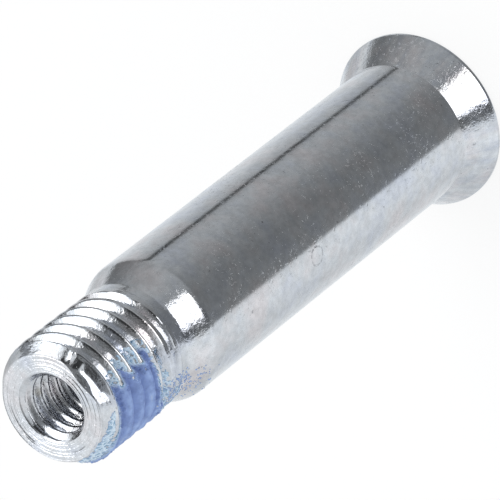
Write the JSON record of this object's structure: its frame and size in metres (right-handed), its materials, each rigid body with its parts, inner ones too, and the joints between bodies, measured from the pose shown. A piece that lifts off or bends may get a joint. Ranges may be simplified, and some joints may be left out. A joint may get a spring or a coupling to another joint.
{
  "type": "threaded axle",
  "caption": "Smooth round wheel axle with a shallow countersunk head, a shoulder, a short external thread with locking patch and a tapped end.",
  "frame": {"origin": "centre of the head's flat outer face, on which the axle stands", "axes": "+Z along the axle's axis, from the head towards the threaded end; the locking patch is on the -X side"},
  "size_m": [0.01, 0.01, 0.0358],
  "materials": {
    "zinc_plated_steel": "bright zinc plate, satin, with fine pits and turning marks",
    "locking_compound": "dried blue thread-locking compound, semi-matt"
  },
  "bodies": {
    "root": {"axle": "zinc_plated_steel", "locking_patch": "locking_compound"}
  },
  "joints": []
}
